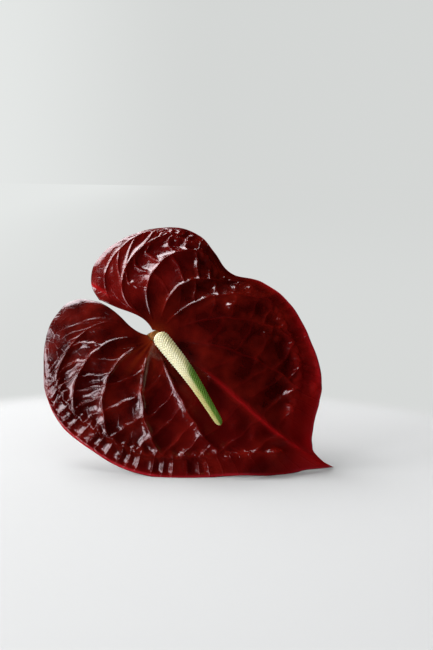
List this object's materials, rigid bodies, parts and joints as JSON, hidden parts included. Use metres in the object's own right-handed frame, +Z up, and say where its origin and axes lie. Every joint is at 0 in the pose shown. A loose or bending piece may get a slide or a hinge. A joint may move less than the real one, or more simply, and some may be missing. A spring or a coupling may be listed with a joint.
{
  "type": "anthurium cut flower",
  "caption": "Anthurium cut flower lying on a surface: heart-shaped waxy spathe with a raised vein net, tapering spadix covered in florets, and a cut stem behind.",
  "frame": {"origin": "on the resting surface, at the middle of the flower's length and width", "axes": "+Z up, the front of the spathe faces -Y, the stem runs back along +Y, the apex points to +X"},
  "size_m": [0.1588, 0.1896, 0.1231],
  "materials": {
    "spathe": "waxy, glossy, dark red petal-like bract",
    "spadix": "satin, cream to green, covered in florets",
    "peduncle": "satin green stem"
  },
  "bodies": {
    "root": {"spathe": "spathe", "spadix": "spadix", "peduncle": "peduncle"}
  },
  "joints": []
}
